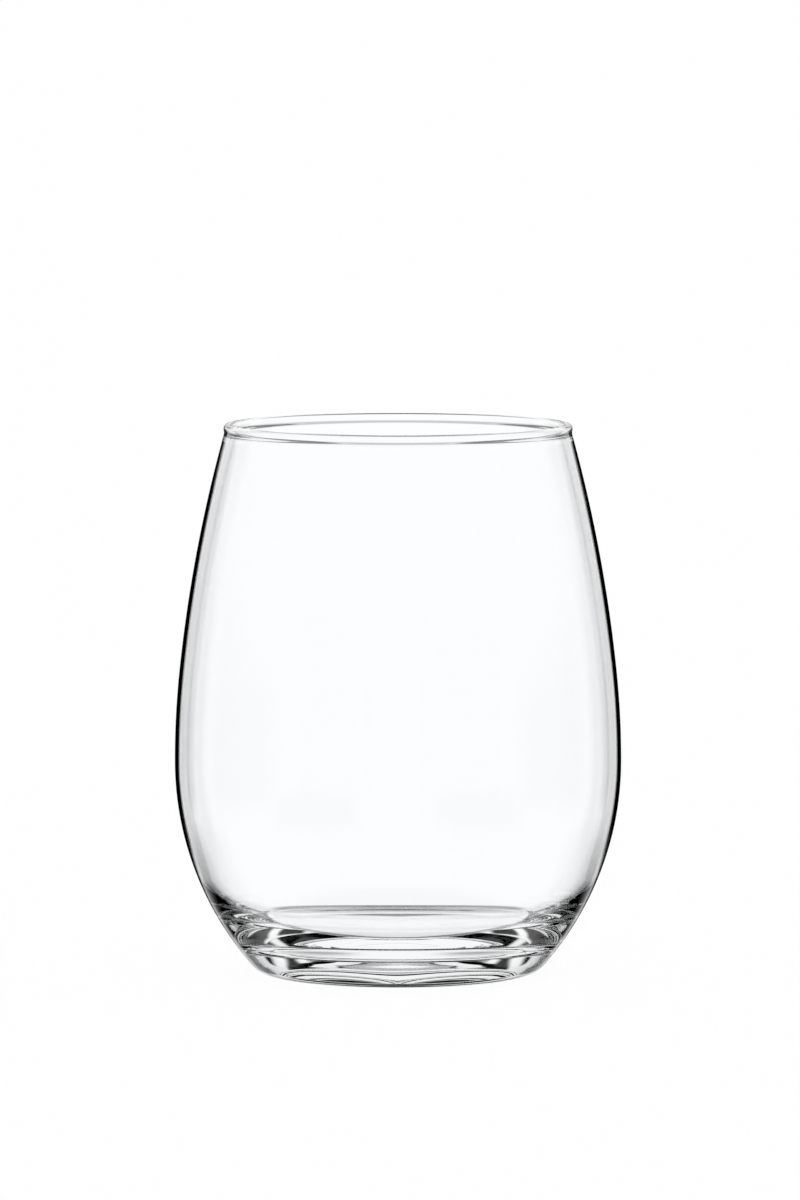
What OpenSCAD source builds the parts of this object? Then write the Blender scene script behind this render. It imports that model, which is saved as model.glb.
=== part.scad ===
// Stemless wine glass: a round bowl of clear glass with a heavy base and a beaded rim.
// It turns about Z and stands on Z = 0. Sizes are in millimetres.
// Points are [radius, height], and headings are degrees up from the outward direction.

/* [Outside of the bowl] */
// Height from the table to the crest of the rim
overall_h = 115.5; // [100:0.5:140]
// Outside diameter of the bowl where it is widest
bowl_d = 94; // [84:0.5:110]
// Height of the widest place above the table
bowl_z = 44.3; // [36:0.1:52]
// Profile radius of the belly, from the widest place up to the shoulder
belly_r = 183; // [120:1:300]
// Height of the shoulder, where the belly runs into the neck
shoulder_z = 63.5; // [56:0.5:76]

/* [Wall] */
// Thickness of the wall from the rim down to where it swells
wall_t = 1.2; // [1:0.1:2]
// Height below which the wall swells into the base
swell_z = 20.5; // [16:0.5:34]

/* [Rim] */
// Outside diameter of the rim bead
rim_d = 73.2; // [64:0.2:84]
// Thickness of the rim bead
bead_t = 2; // [1.6:0.1:3.2]
// Depth below the crest at which the wall begins to turn into the bead
bead_depth = 2.4; // [2:0.1:6]

/* [Base] */
// Outside diameter of the flat ring that the glass stands on
foot_d = 55.6; // [46:0.2:62]
// Width of that flat ring
foot_w = 3; // [1:0.1:8]
// Radius of the heel between the flat ring and the outside of the bowl
heel_r = 4.1; // [2:0.1:7]
// Rise of the hollow underside at the axis
hollow_h = 0.4; // [0.2:0.1:3]

/* [Inside of the bowl] */
// Height of the floor's edge above the table
floor_z = 7.6; // [6:0.1:11]
// Diameter of the floor inside its rounded corner
floor_d = 54.5; // [46:0.5:58]
// Radius of the corner between the floor and the wall
corner_r = 6; // [2:0.1:9]
// Depth of the dished floor at the axis, below its edge
dish_h = 0.3; // [0.1:0.1:1.5]

/* [Hidden] */
glass = [0.86, 0.92, 0.93, 0.45];
// Straight pieces in each arc of an outline, and facets round the axis
arc_steps = 20;
$fn = 128;

outward = 0;
up = 90;
bowl_r = bowl_d / 2;
foot_r = foot_d / 2;
floor_r = floor_d / 2;
bead_r = bead_t / 2;
foot_edge = [foot_r, 0];
floor_edge = [floor_r, floor_z];
widest = [bowl_r, bowl_z];

function unit(heading) = [cos(heading), sin(heading)];
function reversed(points) = [for (i = [len(points) - 1:-1:0]) points[i]];

// Half of the turn that an arc makes from start, leaving at heading, to end
function half_turn(start, heading, end) = atan2(end.y - start.y, end.x - start.x) - heading;

// Arc from start to end, moved to its left by inset
function arc(start, heading, end, inset = 0) =
    let (half = half_turn(start, heading, end), chord = norm(end - start))
    [for (i = [0:arc_steps])
        let (turn = half * i / arc_steps)
        start + chord * sin(turn) / sin(half) * unit(heading + turn) + inset * unit(heading + 2 * turn + 90)];

// Smooth curve between two ends and their handles
function bezier(a, b, c, d) =
    [for (i = [0:arc_steps])
        let (t = i / arc_steps, s = 1 - t)
        s * s * s * a + 3 * s * s * t * b + 3 * s * t * t * c + t * t * t * d];

// Radius of the arc that leaves a fillet at the edge of a flat and reaches end at end_heading
function side_radius(flat_edge, fillet_r, end, end_heading) =
    let (away = end - flat_edge - [0, fillet_r], inward = unit(end_heading + 90))
    (fillet_r * fillet_r - away * away) / (2 * (away * inward + fillet_r));

// Outline from the edge of a flat, round that fillet and up that arc
function side(flat_edge, fillet_r, end, end_heading) =
    let (fillet_centre = flat_edge + [0, fillet_r])
    let (arc_centre = end + side_radius(flat_edge, fillet_r, end, end_heading) * unit(end_heading + 90))
    let (join = fillet_centre + fillet_r * (fillet_centre - arc_centre) / norm(fillet_centre - arc_centre))
    let (fillet_turn = 2 * half_turn(flat_edge, outward, join))
    concat(arc(flat_edge, outward, join), arc(join, fillet_turn, end));

// The belly turns inward by this angle before the neck takes over
shoulder_turn = asin((shoulder_z - bowl_z) / belly_r);
shoulder = [bowl_r - belly_r * (1 - cos(shoulder_turn)), shoulder_z];
neck_end = [rim_d / 2, overall_h - bead_depth];

// Side of the bowl from the widest place up the belly and the neck, at a depth into the wall
function upper_side(depth) =
    concat(
        arc(widest, up, shoulder, depth),
        arc(shoulder, up + shoulder_turn, neck_end, depth));

// The inside keeps the wall's thickness from the widest place down to the swell
inside_low_r = side_radius(foot_edge, heel_r, widest, up) - wall_t;
inside_widest = widest - [wall_t, 0];
swell_turn = asin((bowl_z - swell_z) / inside_low_r);
swell = inside_widest + inside_low_r * (unit(-swell_turn) - [1, 0]);

outside_low = side(foot_edge, heel_r, widest, up);
inside_low = concat(
    side(floor_edge, corner_r, swell, up - swell_turn),
    arc(swell, up - swell_turn, inside_widest));
outside_high = upper_side(0);
inside_high = upper_side(wall_t);

// Heavy bottom of the glass under the floor, with its hollow underside
module base() {
    underside = arc([0, hollow_h], outward, [foot_r - foot_w, 0]);
    floor_line = arc([0, floor_z - dish_h], outward, floor_edge);
    color(glass)
        rotate_extrude()
            polygon(concat(underside, [foot_edge], reversed(floor_line)));
}

// Rounded wall from the heel up to the widest place
module lower_bowl() {
    color(glass)
        rotate_extrude()
            polygon(concat(outside_low, reversed(inside_low)));
}

// Tapering wall from the widest place up to the rim
module upper_bowl() {
    color(glass)
        rotate_extrude()
            polygon(concat(outside_high, reversed(inside_high)));
}

// Rounded bead at the mouth
module rim() {
    bead_centre = [rim_d / 2 - bead_r, overall_h - bead_r];
    root_out = outside_high[len(outside_high) - 1];
    root_in = inside_high[len(inside_high) - 1];
    lean = up + shoulder_turn + 2 * half_turn(shoulder, up + shoulder_turn, neck_end);
    reach = (bead_depth - bead_r) / 2;
    crest = [for (i = [0:2 * arc_steps]) bead_centre + bead_r * unit(180 * i / (2 * arc_steps))];
    outer_face = bezier(root_out, root_out + reach * unit(lean), crest[0] - [0, reach], crest[0]);
    last = crest[len(crest) - 1];
    inner_face = bezier(last, last - [0, reach], root_in + reach * unit(lean), root_in);
    color(glass)
        rotate_extrude()
            polygon(concat(outer_face, crest, inner_face));
}

base();
lower_bowl();
upper_bowl();
rim();
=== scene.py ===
import math

import bpy
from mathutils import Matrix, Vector


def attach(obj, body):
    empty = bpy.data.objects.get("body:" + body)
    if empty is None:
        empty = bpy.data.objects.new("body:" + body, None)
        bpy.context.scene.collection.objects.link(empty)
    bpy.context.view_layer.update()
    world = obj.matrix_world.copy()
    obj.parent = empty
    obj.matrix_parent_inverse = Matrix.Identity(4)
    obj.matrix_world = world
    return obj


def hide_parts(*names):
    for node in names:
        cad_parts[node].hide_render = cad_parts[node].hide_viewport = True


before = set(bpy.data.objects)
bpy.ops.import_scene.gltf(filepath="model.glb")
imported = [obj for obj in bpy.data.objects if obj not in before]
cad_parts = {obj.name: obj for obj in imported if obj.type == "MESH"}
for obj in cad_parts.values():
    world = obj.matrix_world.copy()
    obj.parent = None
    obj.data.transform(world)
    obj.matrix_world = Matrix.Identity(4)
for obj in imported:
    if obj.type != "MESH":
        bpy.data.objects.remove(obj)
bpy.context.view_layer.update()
print("frame loaded:", sorted(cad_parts))


# points of the profile lie in the XZ plane, and headings are degrees up from +X
def flat(radius, height):
    return Vector((radius, 0.0, height))


def unit(heading):
    turn = math.radians(heading)
    return flat(math.cos(turn), math.sin(turn))


def bearing(start, end):
    return math.degrees(math.atan2(end.z - start.z, end.x - start.x))


# sizes of the glass in metres
glassSizes = {
    "height": 0.1155,
    "bowlRadius": 0.0470,
    "bowlHeight": 0.0443,      # where the bowl is widest
    "bellyCurve": 0.1830,      # radius of the profile from there up to the shoulder
    "shoulderHeight": 0.0635,
    "wall": 0.0012,
    "swellHeight": 0.0205,     # the wall grows thicker below this
    "rimRadius": 0.0366,
    "bead": 0.0020,            # thickness of the rounded rim
    "beadDepth": 0.0024,       # the wall turns into the bead this far below the crest
    "footRadius": 0.0278,
    "footWidth": 0.0030,       # flat ring that the glass stands on
    "footLines": (0.94, 0.5, 0.06, 0.0),  # edge loops on that ring, in widths from its outer edge
    "heelCurve": 0.0041,
    "hollowRise": 0.0004,
    "floorHeight": 0.0076,
    "floorRadius": 0.02725,
    "cornerCurve": 0.0060,
    "floorDish": 0.0003,
    "arcSteps": 22,
    "blendSteps": 8,
    "beadSteps": 12,           # in each quarter of the bead
    "roundSteps": 240,
    "mergeGap": 1e-6,
}


# radius of the arc that meets the fillet at the edge of a flat and ends at endHeading
def sideCurve(edge, fillet, end, endHeading):
    away = end - edge - flat(0, fillet)
    inward = unit(endHeading + 90)
    return (fillet ** 2 - away.length_squared) / (2 * (away.dot(inward) + fillet))


# where the fillet hands over to that arc
def filletEnd(edge, fillet, end, endHeading):
    middle = edge + flat(0, fillet)
    centre = end + sideCurve(edge, fillet, end, endHeading) * unit(endHeading + 90)
    return middle + fillet * (middle - centre).normalized()


pen = {"at": flat(0, 0), "heading": 0.0}  # last vertex of the profile and the way it is going


def extrudeTo(point):
    bpy.ops.mesh.extrude_vertices_move(TRANSFORM_OT_translate={"value": point - pen["at"]})
    pen["heading"] = bearing(pen["at"], point)
    pen["at"] = point


def spinTo(point, steps):  # sweeps the last vertex along the arc that leaves at the pen's heading
    half = bearing(pen["at"], point) - pen["heading"]
    half = (half + 180) % 360 - 180
    curve = (point - pen["at"]).length / (2 * math.sin(math.radians(half)))
    centre = pen["at"] + curve * unit(pen["heading"] + 90)
    bpy.ops.mesh.spin(steps=steps, angle=math.radians(2 * half), center=centre, axis=(0, 1, 0))
    pen["heading"] += 2 * half
    pen["at"] = point


def blendTo(point, heading, reach, steps):  # smooth run that leaves and arrives along its headings
    start = pen["at"]
    first = start + reach * unit(pen["heading"])
    second = point - reach * unit(heading)
    for step in range(1, steps + 1):
        t = step / steps
        s = 1 - t
        extrudeTo(s ** 3 * start + 3 * s * s * t * first + 3 * s * t * t * second + t ** 3 * point)
    pen["heading"] = heading


def makeGlass(sizes):
    wall = sizes["wall"]
    steps = sizes["arcSteps"]
    footEdge = flat(sizes["footRadius"], 0)
    widest = flat(sizes["bowlRadius"], sizes["bowlHeight"])
    shoulderTurn = math.degrees(math.asin((sizes["shoulderHeight"] - widest.z) / sizes["bellyCurve"]))
    shoulder = widest + sizes["bellyCurve"] * (unit(shoulderTurn) - unit(0))
    neckEnd = flat(sizes["rimRadius"], sizes["height"] - sizes["beadDepth"])
    lean = 2 * bearing(shoulder, neckEnd) - 90 - shoulderTurn  # heading of the wall under the bead
    beadRadius = sizes["bead"] / 2
    beadCentre = flat(sizes["rimRadius"] - beadRadius, sizes["height"] - beadRadius)
    beadReach = (sizes["beadDepth"] - beadRadius) / 2
    innerWidest = widest - flat(wall, 0)
    innerCurve = sideCurve(footEdge, sizes["heelCurve"], widest, 90) - wall
    swellTurn = math.degrees(math.asin((widest.z - sizes["swellHeight"]) / innerCurve))
    swell = innerWidest + innerCurve * (unit(-swellTurn) - unit(0))
    floorEdge = flat(sizes["floorRadius"], sizes["floorHeight"])

    bpy.ops.object.select_all(action="DESELECT")
    bpy.ops.mesh.primitive_plane_add(size=0.01, location=(0, 0, 0))
    glass = bpy.context.object
    glass.name = "glass"
    glass.data.name = "glass"
    bpy.ops.object.mode_set(mode="EDIT")
    bpy.ops.mesh.select_all(action="SELECT")
    bpy.ops.mesh.merge(type="CENTER")  # one vertex to draw the profile with
    bpy.ops.transform.translate(value=(0, 0, sizes["hollowRise"]))
    pen.update(at=flat(0, sizes["hollowRise"]), heading=0.0)

    # outside, from the middle of the underside up to the rim
    spinTo(footEdge - flat(sizes["footWidth"], 0), steps)
    for share in sizes["footLines"]:
        extrudeTo(footEdge - flat(share * sizes["footWidth"], 0))
    spinTo(filletEnd(footEdge, sizes["heelCurve"], widest, 90), steps)
    spinTo(widest, 2 * steps)
    spinTo(shoulder, steps)
    spinTo(neckEnd, 2 * steps)
    blendTo(beadCentre + flat(beadRadius, 0), 90, beadReach, sizes["blendSteps"])
    spinTo(beadCentre + flat(0, beadRadius), sizes["beadSteps"])
    spinTo(beadCentre - flat(beadRadius, 0), sizes["beadSteps"])

    # inside, back down to the middle of the floor
    blendTo(neckEnd + wall * unit(lean + 90), lean + 180, beadReach, sizes["blendSteps"])
    spinTo(shoulder + wall * unit(shoulderTurn + 180), 2 * steps)
    spinTo(innerWidest, steps)
    spinTo(swell, steps)
    spinTo(filletEnd(floorEdge, sizes["cornerCurve"], swell, 90 - swellTurn), steps)
    spinTo(floorEdge, steps)
    spinTo(floorEdge - flat(sizes["floorRadius"], sizes["floorDish"]), steps)

    bpy.ops.object.mode_set(mode="OBJECT")
    turn = glass.modifiers.new("turn", "SCREW")
    turn.axis = "Z"
    turn.steps = sizes["roundSteps"]
    turn.render_steps = sizes["roundSteps"]
    turn.use_merge_vertices = True
    turn.merge_threshold = sizes["mergeGap"]
    bpy.ops.object.modifier_apply(modifier="turn")
    bpy.ops.object.mode_set(mode="EDIT")
    bpy.ops.mesh.select_all(action="SELECT")
    bpy.ops.mesh.remove_doubles(threshold=sizes["mergeGap"])
    bpy.ops.mesh.normals_make_consistent(inside=False)
    bpy.ops.object.mode_set(mode="OBJECT")
    bpy.ops.object.shade_smooth()
    return glass


# small helpers for node trees
def addNode(tree, kind, **settings):
    made = tree.nodes.new(kind)
    for name, value in settings.items():
        setattr(made, name, value)
    return made


def feed(tree, socket, value):
    if isinstance(value, bpy.types.NodeSocket):
        tree.links.new(value, socket)
    else:
        socket.default_value = value


def mathNode(tree, operation, first, second=0.0):
    made = addNode(tree, "ShaderNodeMath", operation=operation)
    feed(tree, made.inputs[0], first)
    feed(tree, made.inputs[1], second)
    return made.outputs[0]


def fadeNode(tree, value, start, end, low, high):
    made = addNode(tree, "ShaderNodeMapRange", interpolation_type="SMOOTHSTEP")
    for socket, given in zip(made.inputs[:5], (value, start, end, low, high)):
        feed(tree, socket, given)
    return made.outputs[0]


clearGlass = {
    "tint": (0.985, 0.992, 1.0, 1.0),
    "ior": 1.52,
    "polish": (0.0, 0.005),    # roughness of the cleanest and the dullest spots
    "smudgeSize": 260.0,       # smudges in the polish, per metre
    "smudgeDetail": 3.0,
    "smudgeSpan": (0.45, 0.75),  # noise at the cleanest and the dullest spots
    "waveSize": 45.0,          # waves of the mould, per metre
    "waveHeight": 0.00002,
}


def makeClearGlass(look):
    made = bpy.data.materials.new("clearGlass")
    made.use_nodes = True
    tree = made.node_tree
    shader = tree.nodes["Principled BSDF"]
    shader.inputs["Base Color"].default_value = look["tint"]
    shader.inputs["Transmission Weight"].default_value = 1.0
    shader.inputs["IOR"].default_value = look["ior"]
    place = addNode(tree, "ShaderNodeTexCoord").outputs["Object"]
    smudge = addNode(tree, "ShaderNodeTexNoise")
    smudge.inputs["Scale"].default_value = look["smudgeSize"]
    smudge.inputs["Detail"].default_value = look["smudgeDetail"]
    feed(tree, smudge.inputs["Vector"], place)
    roughness = fadeNode(tree, smudge.outputs["Fac"], *look["smudgeSpan"], *look["polish"])
    feed(tree, shader.inputs["Roughness"], roughness)
    waves = addNode(tree, "ShaderNodeTexNoise")
    waves.inputs["Scale"].default_value = look["waveSize"]
    waves.inputs["Detail"].default_value = 0.0
    feed(tree, waves.inputs["Vector"], place)
    bump = addNode(tree, "ShaderNodeBump")
    bump.inputs["Strength"].default_value = 1.0
    bump.inputs["Distance"].default_value = look["waveHeight"]
    feed(tree, bump.inputs["Height"], waves.outputs["Fac"])
    feed(tree, shader.inputs["Normal"], bump.outputs["Normal"])
    return made


glass = makeGlass(glassSizes)
glass.data.materials.append(makeClearGlass(clearGlass))
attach(glass, "root")
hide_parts("base", "lower_bowl", "upper_bowl", "rim")
print("glass made:", len(glass.data.vertices), "vertices,", len(glass.data.polygons), "faces")


# white studio, where dark patches of the world, painted shade seen only by rays that come by way of
# the glass, draw the lines of the glass
studio = {
    "floorSize": 60.0,
    "floorDrop": 0.0001,       # keeps the paper clear of the foot
    "floorWhite": 0.98,
    "floorGlow": 0.75,         # keeps the paper white and its shadow faint
    # a painted dark patch is the middle, half width and softness of its azimuth from +Y, left and
    # right alike, its lowest and highest place and their softness, all in degrees, and its darkness
    "edgePaintedDark": [             # painted dark reflections: mirrored once, they draw the edges of the wall
        (0.0, 23.5, 1.5, -13.0, 1.5, 1.5, 1.0),
        (32.0, 18.0, 8.0, -52.0, -16.0, 6.0, 1.0),
        (43.5, 5.0, 4.0, -12.0, 8.0, 3.0, 0.55),
    ],
    "sidePaintedDark": [             # painted dark reflections, the same for looks from the sides
        (90.0, 22.0, 10.0, -14.0, 4.0, 5.0, 0.6),
        (45.0, 24.0, 8.0, -34.0, -18.0, 5.0, 0.6),
        (135.0, 24.0, 8.0, -22.0, -10.0, 5.0, 0.6),
    ],
    "frontPaintedDark": [            # painted dark reflection, mirrored by the outside of the heel
        (90.0, 95.0, 1.0, -95.0, -45.0, 4.0, 1.0),
    ],
    "basePaintedDark": [             # painted shade, met by light that bounces about in the base
        (0.0, 23.5, 1.5, -9.0, -2.0, 1.0, 1.0),
        (31.0, 6.0, 1.5, -10.0, 12.0, 2.0, 1.0),
        (57.0, 14.0, 2.0, -10.0, 12.0, 2.0, 1.0),
        (90.0, 22.0, 2.0, -20.0, 45.0, 3.0, 1.0),
    ],
    "heelPaintedDark": [             # painted shade, met by light that bounces four times, which draws the foot
        (0.0, 28.0, 1.5, -14.0, 10.0, 2.0, 1.0),
        (90.0, 95.0, 1.0, 40.0, 95.0, 3.0, 1.0),
    ],
    "footPaintedDark": [             # painted shade, met by light that bounces five times
        (90.0, 95.0, 1.0, 40.0, 95.0, 3.0, 1.0),
    ],
    "crestPaintedDark": [            # painted shade for light bent down by the crest of the rim
        (0.0, 10.0, 2.0, -58.0, -38.0, 3.0, 1.0),
        (0.0, 40.0, 6.0, -58.0, -34.0, 3.0, 0.7),
    ],
    "beadPaintedDark": [             # painted shade for light bent up by the bead
        (0.0, 2.6, 0.8, 16.0, 60.0, 6.0, 0.45),
        (92.6, 90.0, 0.8, 14.0, 60.0, 5.0, 0.9),
        (95.6, 90.0, 0.8, 5.0, 14.0, 3.0, 0.9),
    ],
    "paintedBlackBounces": [(3, 3), (14, 999)],  # painted shade: light mirrored this often sees black, from least to most
}


# rays that come by way of the glass, and how often they were mirrored by it and crossed its skin
def seenByGlass(tree):
    path = addNode(tree, "ShaderNodeLightPath").outputs
    clean = mathNode(tree, "LESS_THAN", path["Diffuse Depth"], 0.5)  # not by way of the paper
    seen = mathNode(tree, "MAXIMUM", path["Is Transmission Ray"], path["Is Glossy Ray"])
    return mathNode(tree, "MULTIPLY", seen, clean), path["Glossy Depth"], path["Transmission Depth"]


def between(tree, value, least, most):  # 1 for a whole number from least to most
    made = addNode(tree, "ShaderNodeMath", operation="COMPARE")
    for socket, given in zip(made.inputs, (value, (least + most) / 2, (most - least) / 2 + 0.5)):
        feed(tree, socket, given)
    return made.outputs[0]


def paintedPatchNode(tree, turn, rise, darkPatch):  # darkness of one painted dark patch, which fades out at its edges
    middle, half, soft, lowest, highest, riseSoft, darkness = darkPatch
    away = mathNode(tree, "ABSOLUTE", mathNode(tree, "SUBTRACT", turn, middle))
    across = fadeNode(tree, away, half - soft, half + soft, darkness, 0)
    above = fadeNode(tree, rise, lowest - riseSoft, lowest + riseSoft, 0, 1)
    below = fadeNode(tree, rise, highest - riseSoft, highest + riseSoft, 1, 0)
    return mathNode(tree, "MULTIPLY", mathNode(tree, "MULTIPLY", across, above), below)


# the world is white, but for dark patches of painted shade that only rays coming by way of the glass
# see
def makeStudioWorld(look):
    made = bpy.data.worlds.new("studioWorld")
    made.use_nodes = True
    bpy.context.scene.world = made
    tree = made.node_tree
    background = tree.nodes["Background"]
    background.inputs["Color"].default_value = (1, 1, 1, 1)
    place = addNode(tree, "ShaderNodeSeparateXYZ")
    feed(tree, place.inputs[0], addNode(tree, "ShaderNodeTexCoord").outputs["Generated"])
    x, y, z = place.outputs
    turn = mathNode(tree, "MULTIPLY", mathNode(tree, "ARCTAN2", x, y), 180 / math.pi)
    turn = mathNode(tree, "ABSOLUTE", turn)  # left and right alike
    rise = mathNode(tree, "MULTIPLY", mathNode(tree, "ARCSINE", z), 180 / math.pi)
    seen, bounces, crossings = seenByGlass(tree)
    once = between(tree, bounces, 1, 1)
    front = mathNode(tree, "MULTIPLY", once, between(tree, crossings, 0, 0))
    inWall = mathNode(tree, "MULTIPLY", once, between(tree, crossings, 2, 2))
    often = mathNode(tree, "GREATER_THAN", bounces, 1.5)
    heel = between(tree, bounces, 4, 4)
    foot = between(tree, bounces, 5, 5)
    bent = mathNode(tree, "LESS_THAN", bounces, 0.5)
    bead = mathNode(tree, "MULTIPLY", bent, between(tree, crossings, 2, 2))
    # painted shade: glass rays see black after these bounce counts and in the dark patches
    paintedShade = 0.0
    for least, most in look["paintedBlackBounces"]:
        paintedShade = mathNode(tree, "MAXIMUM", paintedShade, between(tree, bounces, least, most))
    kinds = {
        "edgePaintedDark": once, "sidePaintedDark": inWall, "frontPaintedDark": front, "basePaintedDark": often,
        "heelPaintedDark": heel, "footPaintedDark": foot, "crestPaintedDark": bent, "beadPaintedDark": bead,
    }
    for patchKind, rays in kinds.items():
        for darkPatch in look[patchKind]:
            dark = mathNode(tree, "MULTIPLY", rays, paintedPatchNode(tree, turn, rise, darkPatch))
            paintedShade = mathNode(tree, "MAXIMUM", paintedShade, dark)
    paintedShade = mathNode(tree, "MULTIPLY", seen, paintedShade)
    feed(tree, background.inputs["Strength"], mathNode(tree, "SUBTRACT", 1.0, paintedShade))


def makeFloor(look):
    bpy.ops.object.select_all(action="DESELECT")
    bpy.ops.mesh.primitive_plane_add(size=look["floorSize"], location=(0, 0, -look["floorDrop"]))
    floor = bpy.context.object
    floor.name = "floor"
    paper = bpy.data.materials.new("whitePaper")
    paper.use_nodes = True
    tree = paper.node_tree
    tree.nodes.remove(tree.nodes["Principled BSDF"])
    white = addNode(tree, "ShaderNodeBsdfDiffuse")
    white.inputs["Color"].default_value = (look["floorWhite"],) * 3 + (1.0,)
    glow = addNode(tree, "ShaderNodeEmission")
    fromCamera = addNode(tree, "ShaderNodeLightPath").outputs["Is Camera Ray"]
    lit = addNode(tree, "ShaderNodeMixShader")
    feed(tree, lit.inputs[0], mathNode(tree, "MULTIPLY", fromCamera, look["floorGlow"]))
    feed(tree, lit.inputs[1], white.outputs[0])
    feed(tree, lit.inputs[2], glow.outputs[0])
    clear = addNode(tree, "ShaderNodeBsdfTransparent")
    either = addNode(tree, "ShaderNodeMixShader")  # the glass shows the room in the paper's place
    feed(tree, either.inputs[0], seenByGlass(tree)[0])
    feed(tree, either.inputs[1], lit.outputs[0])
    feed(tree, either.inputs[2], clear.outputs[0])
    feed(tree, tree.nodes["Material Output"].inputs["Surface"], either.outputs[0])
    floor.data.materials.append(paper)


makeStudioWorld(studio)
makeFloor(studio)
print("studio made")


lens = {
    "place": (0.0, -1.5216, 0.2168),
    "tilt": 84.8,              # degrees up from straight down
    "length": 217.98,
    "sensor": 36.0,
    "shift": 0.001625,
    "farthest": 100.0,
}


def makeCamera(look):
    bpy.ops.object.camera_add(location=look["place"], rotation=(math.radians(look["tilt"]), 0, 0))
    camera = bpy.context.object
    camera.name = "camera"
    camera.data.lens = look["length"]
    camera.data.sensor_fit = "AUTO"
    camera.data.sensor_width = look["sensor"]
    camera.data.shift_x = look["shift"]
    camera.data.clip_end = look["farthest"]
    bpy.context.scene.camera = camera


makeCamera(lens)
print("camera made")

mostBounces = 32  # light crosses the wall and the base many times
scene = bpy.context.scene
scene.view_settings.view_transform = "Standard"
scene.cycles.max_bounces = mostBounces
scene.cycles.transmission_bounces = mostBounces
scene.cycles.glossy_bounces = mostBounces
scene.cycles.blur_glossy = 0.0
